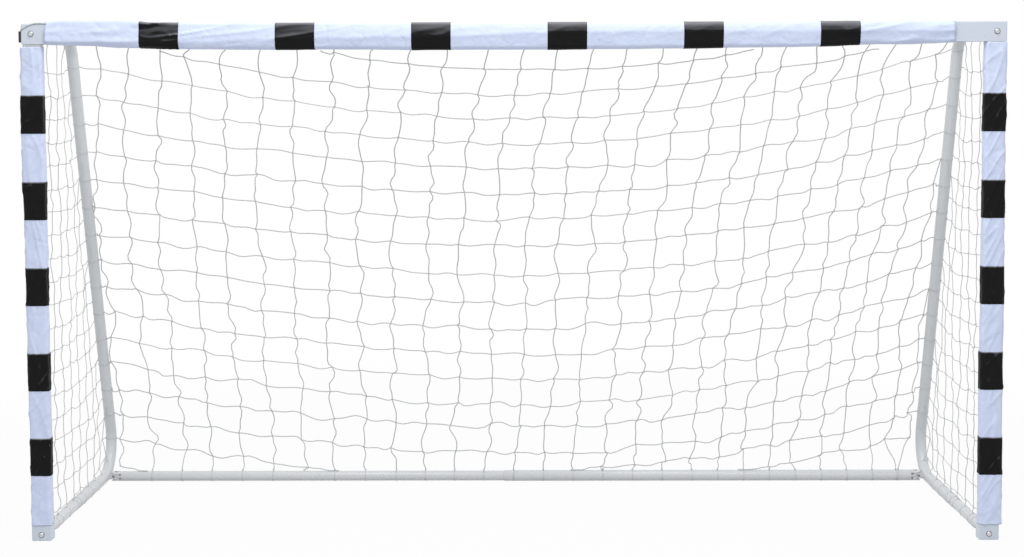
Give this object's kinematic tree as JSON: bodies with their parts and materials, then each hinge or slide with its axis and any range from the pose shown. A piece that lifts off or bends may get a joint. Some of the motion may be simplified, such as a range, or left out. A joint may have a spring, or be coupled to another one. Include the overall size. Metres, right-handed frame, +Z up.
{
  "type": "folding soccer goal",
  "caption": "Free-standing soccer goal with striped fabric sleeves on its front frame, a knotted net, and bent side frames that fold in on a telescopic rear bar.",
  "frame": {"origin": "on the ground, at the middle of the goal's box", "axes": "+X to the goal's right as the shooter sees it, -Y out of the open front, +Z up"},
  "size_m": [3.0086, 0.8997, 1.6029],
  "materials": {
    "tube_paint": "satin white powder coat on steel tube",
    "bracket_paint": "satin light grey powder coat on sheet steel",
    "zinc_steel": "zinc-plated",
    "white_fabric": "coated polyester cloth, cool white",
    "black_fabric": "coated polyester cloth, black",
    "net_twine": "white twisted twine"
  },
  "bodies": {
    "front_frame": {"crossbar_joiner": "zinc_steel", "left_crossbar": "tube_paint", "right_crossbar": "tube_paint", "left_post": "tube_paint", "right_post": "tube_paint", "left_corner_bracket": "bracket_paint", "right_corner_bracket": "bracket_paint", "left_foot_bracket": "bracket_paint", "right_foot_bracket": "bracket_paint", "left_corner_bolt": "zinc_steel", "right_corner_bolt": "zinc_steel", "left_foot_bolt": "zinc_steel", "right_foot_bolt": "zinc_steel", "left_crossbar_screw": "zinc_steel", "right_crossbar_screw": "zinc_steel", "left_joiner_screw": "zinc_steel", "right_joiner_screw": "zinc_steel", "left_top_hinge_pin": "zinc_steel", "right_top_hinge_pin": "zinc_steel", "left_foot_hinge_pin": "zinc_steel", "right_foot_hinge_pin": "zinc_steel", "crossbar_sleeve": "white_fabric", "crossbar_band_1": "black_fabric", "crossbar_band_2": "black_fabric", "crossbar_band_3": "black_fabric", "crossbar_band_4": "black_fabric", "crossbar_band_5": "black_fabric", "crossbar_band_6": "black_fabric", "left_post_sleeve": "white_fabric", "left_post_band_1": "black_fabric", "left_post_band_2": "black_fabric", "left_post_band_3": "black_fabric", "left_post_band_4": "black_fabric", "left_post_band_5": "black_fabric", "right_post_sleeve": "white_fabric", "right_post_band_1": "black_fabric", "right_post_band_2": "black_fabric", "right_post_band_3": "black_fabric", "right_post_band_4": "black_fabric", "right_post_band_5": "black_fabric", "back_net": "net_twine"},
    "left_side_frame": {"left_side_tube": "tube_paint", "left_rail_tube": "tube_paint", "left_arm_tube": "tube_paint", "left_rail_joint_screw": "zinc_steel", "left_arm_joint_screw": "zinc_steel", "left_rear_clevis": "bracket_paint", "left_corner_pin": "zinc_steel", "left_side_net": "net_twine"},
    "right_side_frame": {"right_side_tube": "tube_paint", "right_rail_tube": "tube_paint", "right_arm_tube": "tube_paint", "right_rail_joint_screw": "zinc_steel", "right_arm_joint_screw": "zinc_steel", "right_rear_clevis": "bracket_paint", "right_corner_pin": "zinc_steel", "right_side_net": "net_twine"},
    "left_bar_half": {"left_rear_bar": "tube_paint"},
    "right_bar_half": {"right_rear_bar": "tube_paint"}
  },
  "joints": [
    {"name": "left_side_fold", "type": "hinge", "parent": "front_frame", "child": "left_side_frame", "pos_m": [-1.4692, -0.3657, 0], "axis": [0, 0, -1], "range_deg": [0, 90], "deforming": ["back_net"]},
    {"name": "right_side_fold", "type": "hinge", "parent": "front_frame", "child": "right_side_frame", "pos_m": [1.4692, -0.3657, 0], "axis": [0, 0, 1], "range_deg": [0, 90]},
    {"name": "left_bar_turn", "type": "hinge", "parent": "left_side_frame", "child": "left_bar_half", "pos_m": [-1.4282, 0.344, 0.019], "axis": [0, 0, 1], "range_deg": [0, 90]},
    {"name": "right_bar_turn", "type": "hinge", "parent": "right_side_frame", "child": "right_bar_half", "pos_m": [1.4282, 0.344, 0.019], "axis": [0, 0, -1], "range_deg": [0, 90]}
  ],
  "couplings": [
    {"joint": "right_side_fold", "follows": "left_side_fold", "ratio": 1},
    {"joint": "left_bar_turn", "follows": "left_side_fold", "ratio": 1},
    {"joint": "right_bar_turn", "follows": "left_side_fold", "ratio": 1}
  ]
}
